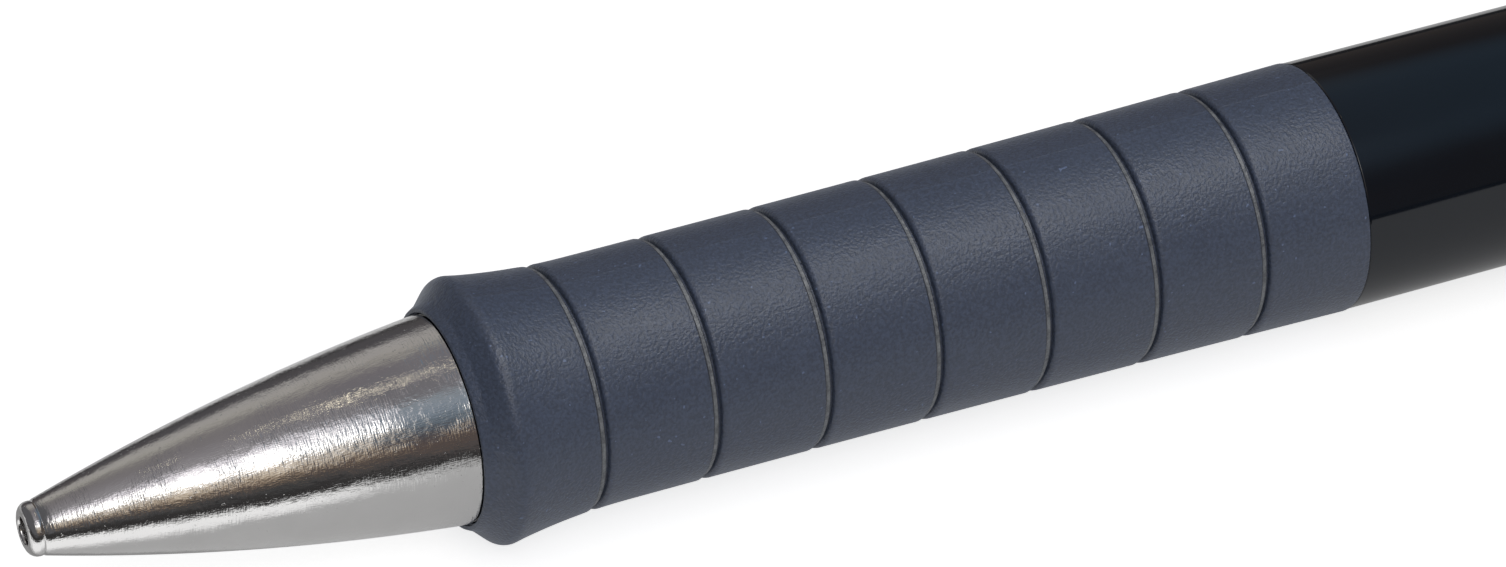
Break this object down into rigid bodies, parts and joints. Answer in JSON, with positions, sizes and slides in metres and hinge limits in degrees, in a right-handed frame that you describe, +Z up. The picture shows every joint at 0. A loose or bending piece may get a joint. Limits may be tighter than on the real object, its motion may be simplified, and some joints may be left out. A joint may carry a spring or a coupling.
{
  "type": "gel pen",
  "caption": "Retractable gel pen with screw-on chrome nose cone, grooved rubber grip, clip, rotating-cam knock and needle-point refill.",
  "frame": {"origin": "centre of the nose cone's front opening, on the pen's axis", "axes": "+X along the pen's axis from the writing point to the push button; +Z up with the pen lying on a table, its clip towards -Y and leaning on the table"},
  "size_m": [0.142, 0.0137, 0.0116],
  "materials": {
    "chrome": "polished plating",
    "grip_rubber": "matte moulded rubber, dark slate",
    "black_gloss": "polished black moulding",
    "insert_plastic": "moulded",
    "cam_plastic": "acetal, natural",
    "spring_steel": "drawn wire",
    "refill_plastic": "translucent tube",
    "holder_plastic": "moulded, natural",
    "needle_steel": "drawn stainless tube",
    "ball_carbide": "polished tungsten carbide",
    "ink": "black gel",
    "grease": "clear grease"
  },
  "bodies": {
    "pen_barrel": {"barrel": "black_gloss", "grip_sleeve": "grip_rubber", "trim_ring": "chrome", "rear_sleeve": "black_gloss", "cam_sleeve": "cam_plastic", "clip_ring": "chrome", "end_collar": "chrome"},
    "spring": {"retract_spring": "spring_steel"},
    "nose": {"nose_cone": "chrome", "nose_insert": "insert_plastic"},
    "refill": {"refill_tube": "refill_plastic", "tip_holder": "holder_plastic", "needle_pipe": "needle_steel", "ball_spring": "spring_steel", "gel_ink": "ink", "grease_plug": "grease", "tail_plug": "holder_plastic"},
    "ball": {"writing_ball": "ball_carbide"},
    "rotor": {"cam_rotor": "cam_plastic"},
    "button": {"push_button": "chrome", "knock_plunger": "cam_plastic"},
    "clip": {"clip_arm": "chrome"}
  },
  "joints": [
    {"name": "button_press", "type": "slide", "parent": "pen_barrel", "child": "button", "axis": [-1, 0, 0], "range_m": [0, 0.005], "stiffness_N_per_m": 250, "springref_m": -0.005},
    {"name": "refill_slide", "type": "slide", "parent": "pen_barrel", "child": "refill", "axis": [-1, 0, 0], "range_m": [0, 0.005], "deforming": ["retract_spring"]},
    {"name": "rotor_slide", "type": "slide", "parent": "pen_barrel", "child": "rotor", "axis": [-1, 0, 0], "range_m": [0, 0.005]},
    {"name": "ball_roll", "type": "hinge", "parent": "refill", "child": "ball", "pos_m": [0.00155, 0, 0], "axis": [0, 1, 0], "continuous": true},
    {"name": "nose_draw", "type": "slide", "parent": "pen_barrel", "child": "spring", "axis": [-1, 0, 0], "range_m": [0, 0.00375]},
    {"name": "nose_unscrew", "type": "hinge", "parent": "spring", "child": "nose", "pos_m": [0, 0, 0], "axis": [-1, 0, 0], "range_deg": [0, 1800]},
    {"name": "clip_flex", "type": "hinge", "parent": "pen_barrel", "child": "clip", "pos_m": [0.12819, -0.00653, -0.00369], "axis": [0, -0.4923, 0.8704], "range_deg": [0, 4], "stiffness_Nm_per_rad": 2, "springref_deg": -0.57}
  ],
  "couplings": [
    {"joint": "refill_slide", "follows": "button_press", "ratio": 1},
    {"joint": "rotor_slide", "follows": "button_press", "ratio": 1},
    {"joint": "nose_unscrew", "follows": "nose_draw", "rad_per_m": 8377.6}
  ]
}
